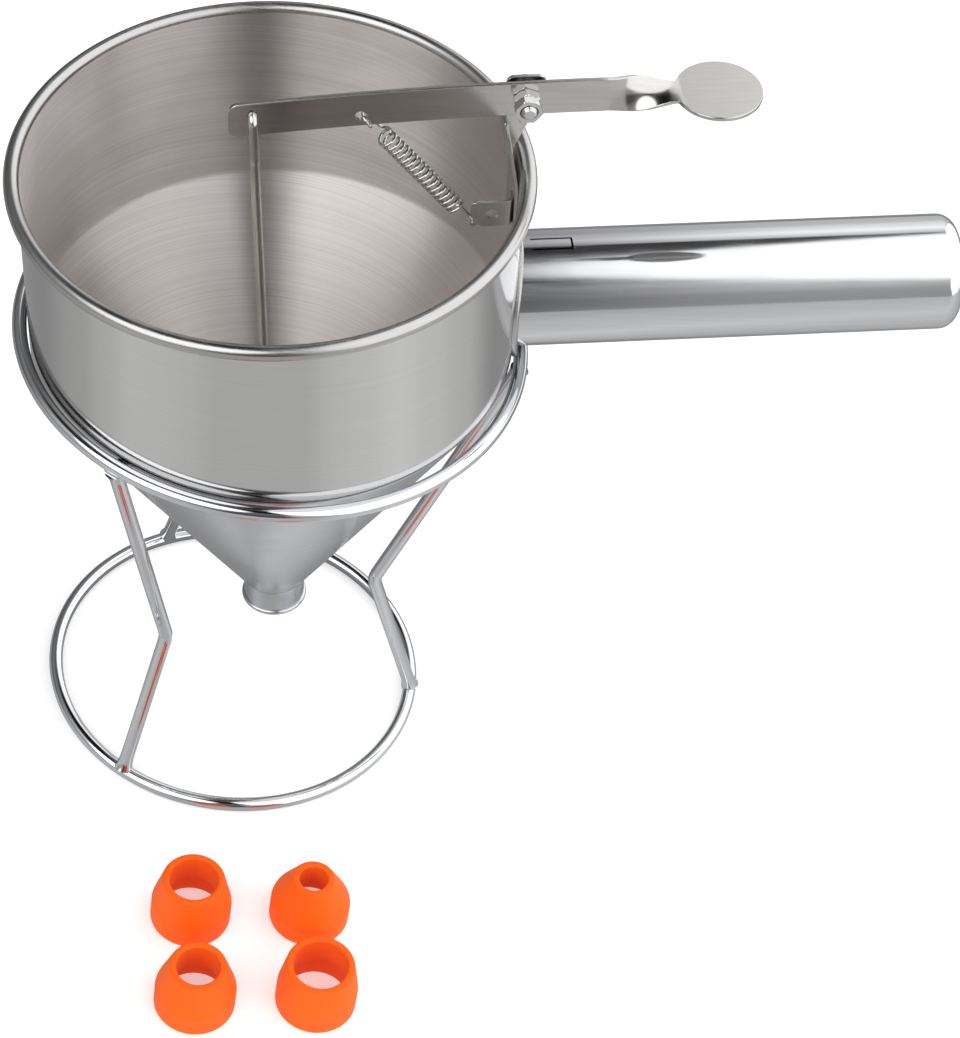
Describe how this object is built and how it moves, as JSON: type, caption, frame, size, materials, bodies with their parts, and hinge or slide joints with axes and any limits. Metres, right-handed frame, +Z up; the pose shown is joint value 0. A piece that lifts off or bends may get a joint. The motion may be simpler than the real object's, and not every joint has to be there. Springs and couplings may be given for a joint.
{
  "type": "batter dispenser",
  "caption": "Batter dispensing funnel with a lever-lifted stopper valve and a tube handle, resting in a wire stand, with push-on nozzles.",
  "frame": {"origin": "on the table, on the stand's own upright axis", "axes": "+Z up, +X along the handle, -Y towards the loose nozzles"},
  "size_m": [0.3208, 0.2504, 0.2932],
  "materials": {
    "chromed_wire": "bright chromed steel wire",
    "brushed_bowl": "stainless sheet, brushed round the inside and polished outside",
    "polished_cone": "polished stainless sheet",
    "polished_handle": "mirror-polished stainless tube",
    "lever_steel": "stamped stainless strip, satin",
    "fastener_steel": "bright steel hardware",
    "spring_steel": "bright spring wire",
    "stopper_silicone": "food-grade silicone, matt",
    "nozzle_silicone": "orange food-grade silicone, matt"
  },
  "bodies": {
    "stand": {"stand_top_ring": "chromed_wire", "stand_base_ring": "chromed_wire", "stand_leg_right": "chromed_wire", "stand_leg_back": "chromed_wire", "stand_leg_left": "chromed_wire"},
    "funnel": {"bowl_wall": "brushed_bowl", "funnel_cone": "polished_cone", "spout_collar": "polished_cone", "handle_flange": "polished_handle", "handle_tube": "polished_handle", "handle_end_cap": "polished_handle", "lever_bracket": "lever_steel", "pivot_bolt": "fastener_steel", "pivot_washer": "fastener_steel", "pivot_nut": "fastener_steel", "lock_nut": "fastener_steel", "return_spring": "spring_steel"},
    "lever": {"lever_arm": "lever_steel"},
    "valve": {"valve_rod": "fastener_steel", "stopper_washer": "fastener_steel", "valve_stopper": "stopper_silicone", "stopper_nut": "fastener_steel"},
    "loose_17mm": {"nozzle_17mm": "nozzle_silicone"},
    "loose_10mm": {"nozzle_10mm": "nozzle_silicone"},
    "loose_15mm": {"nozzle_15mm": "nozzle_silicone"},
    "loose_19mm": {"nozzle_19mm": "nozzle_silicone"}
  },
  "joints": [
    {"name": "funnel_lift", "type": "slide", "parent": "stand", "child": "funnel", "axis": [-0.0872, 0, 0.9962], "range_m": [0, 0.2]},
    {"name": "lever_pivot", "type": "hinge", "parent": "funnel", "child": "lever", "pos_m": [0.07101, 0, 0.28421], "axis": [0, 1, 0], "range_deg": [0, 9], "stiffness_Nm_per_rad": 1, "springref_deg": -20.05, "deforming": ["return_spring"]},
    {"name": "rod_hook", "type": "hinge", "parent": "lever", "child": "valve", "pos_m": [-0.0144, 0, 0.2738], "axis": [0, 1, 0], "range_deg": [-9, 0]},
    {"name": "lift_17mm", "type": "slide", "parent": "stand", "child": "loose_17mm", "axis": [0, 0, 1], "range_m": [0, 0.1]},
    {"name": "lift_10mm", "type": "slide", "parent": "stand", "child": "loose_10mm", "axis": [0, 0, 1], "range_m": [0, 0.1]},
    {"name": "lift_15mm", "type": "slide", "parent": "stand", "child": "loose_15mm", "axis": [0, 0, 1], "range_m": [0, 0.1]},
    {"name": "lift_19mm", "type": "slide", "parent": "stand", "child": "loose_19mm", "axis": [0, 0, 1], "range_m": [0, 0.1]}
  ],
  "couplings": [
    {"joint": "rod_hook", "follows": "lever_pivot", "ratio": -1}
  ]
}
